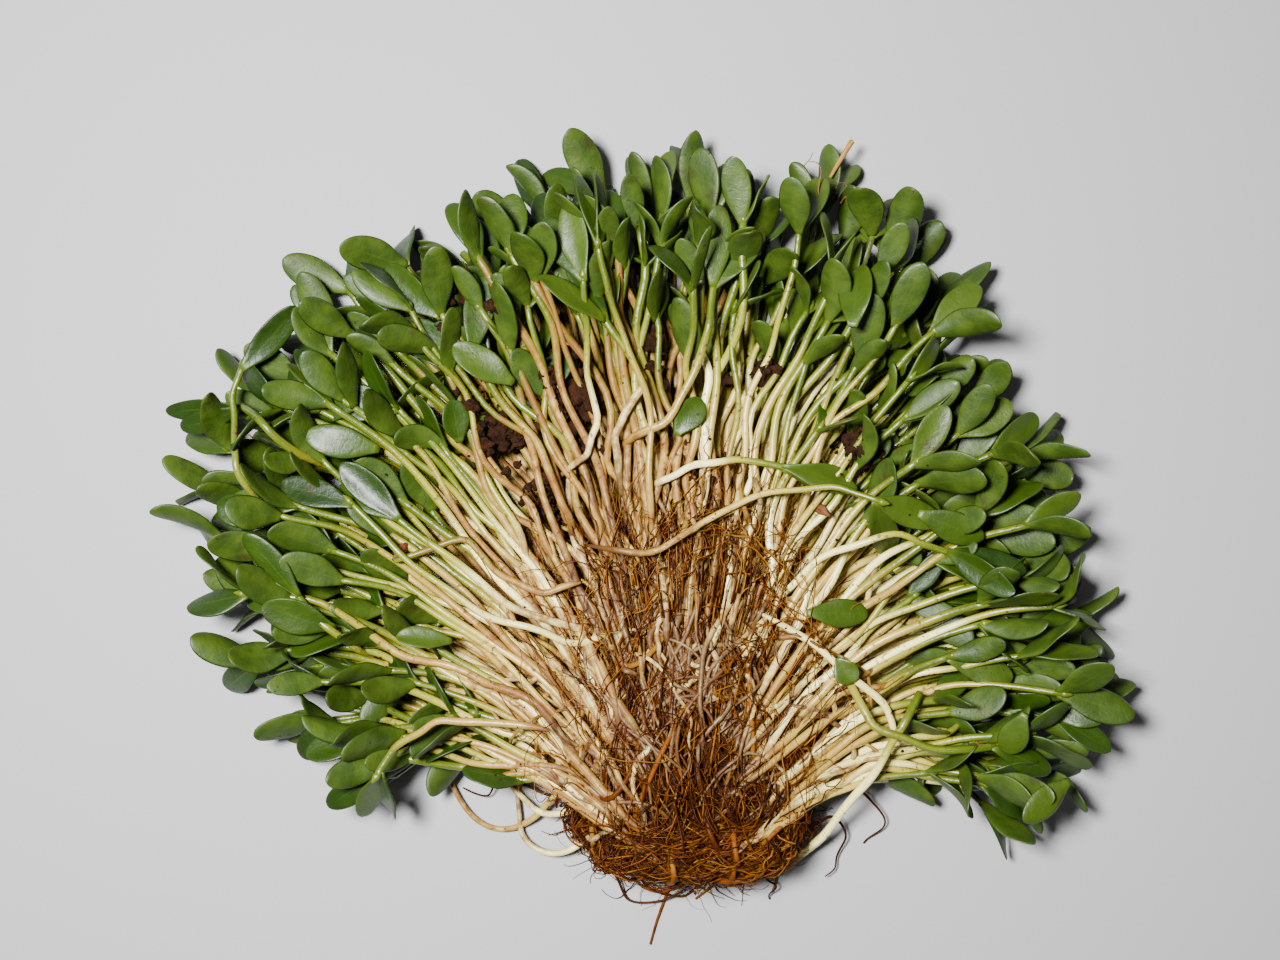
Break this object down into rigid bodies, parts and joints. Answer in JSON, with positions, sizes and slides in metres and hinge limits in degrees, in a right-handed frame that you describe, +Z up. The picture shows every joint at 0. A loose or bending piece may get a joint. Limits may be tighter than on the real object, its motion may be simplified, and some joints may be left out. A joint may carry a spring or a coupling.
{
  "type": "clump of rooted microgreen seedlings",
  "caption": "Clump of pulled microgreen seedlings lying on its side: a fibrous root mat, pale stems spread like a fan, and paired oval seed leaves round the rim.",
  "frame": {"origin": "the point on the resting surface under the crown of the root mat", "axes": "+X to the right across the fan, +Y from the roots to the middle of the leafy rim, +Z up from the surface"},
  "size_m": [0.2707, 0.2293, 0.0454],
  "materials": {
    "seedling": "satin",
    "root": "matte",
    "soil": "matte"
  },
  "bodies": {
    "root": {"root_mat": "root", "bunch_low_01": "seedling", "bunch_low_02": "seedling", "bunch_low_03": "seedling", "bunch_low_04": "seedling", "bunch_low_05": "seedling", "bunch_low_06": "seedling", "bunch_low_07": "seedling", "bunch_low_08": "seedling", "bunch_low_09": "seedling", "bunch_low_10": "seedling", "bunch_low_11": "seedling", "bunch_low_12": "seedling", "bunch_low_13": "seedling", "bunch_low_14": "seedling", "bunch_low_15": "seedling", "bunch_low_16": "seedling", "bunch_low_17": "seedling", "bunch_mid_01": "seedling", "bunch_mid_02": "seedling", "bunch_mid_03": "seedling", "bunch_mid_04": "seedling", "bunch_mid_05": "seedling", "bunch_mid_06": "seedling", "bunch_mid_07": "seedling", "bunch_mid_08": "seedling", "bunch_mid_09": "seedling", "bunch_mid_10": "seedling", "bunch_mid_11": "seedling", "bunch_mid_12": "seedling", "bunch_mid_13": "seedling", "bunch_mid_14": "seedling", "bunch_mid_15": "seedling", "bunch_mid_16": "seedling", "bunch_top_01": "seedling", "bunch_top_02": "seedling", "bunch_top_03": "seedling", "bunch_top_04": "seedling", "bunch_top_05": "seedling", "bunch_top_06": "seedling", "bunch_top_07": "seedling", "bunch_top_08": "seedling", "bunch_top_09": "seedling", "bunch_top_10": "seedling", "bunch_top_11": "seedling", "bunch_top_12": "seedling", "bunch_top_13": "seedling", "bunch_top_14": "seedling", "bunch_top_15": "seedling", "stray_long": "seedling", "stray_fallen": "seedling", "stray_bent": "seedling", "stray_cut": "seedling", "stray_root": "root", "soil_lump_1": "soil", "soil_lump_2": "soil", "soil_lump_3": "soil", "soil_lump_4": "soil"}
  },
  "joints": []
}
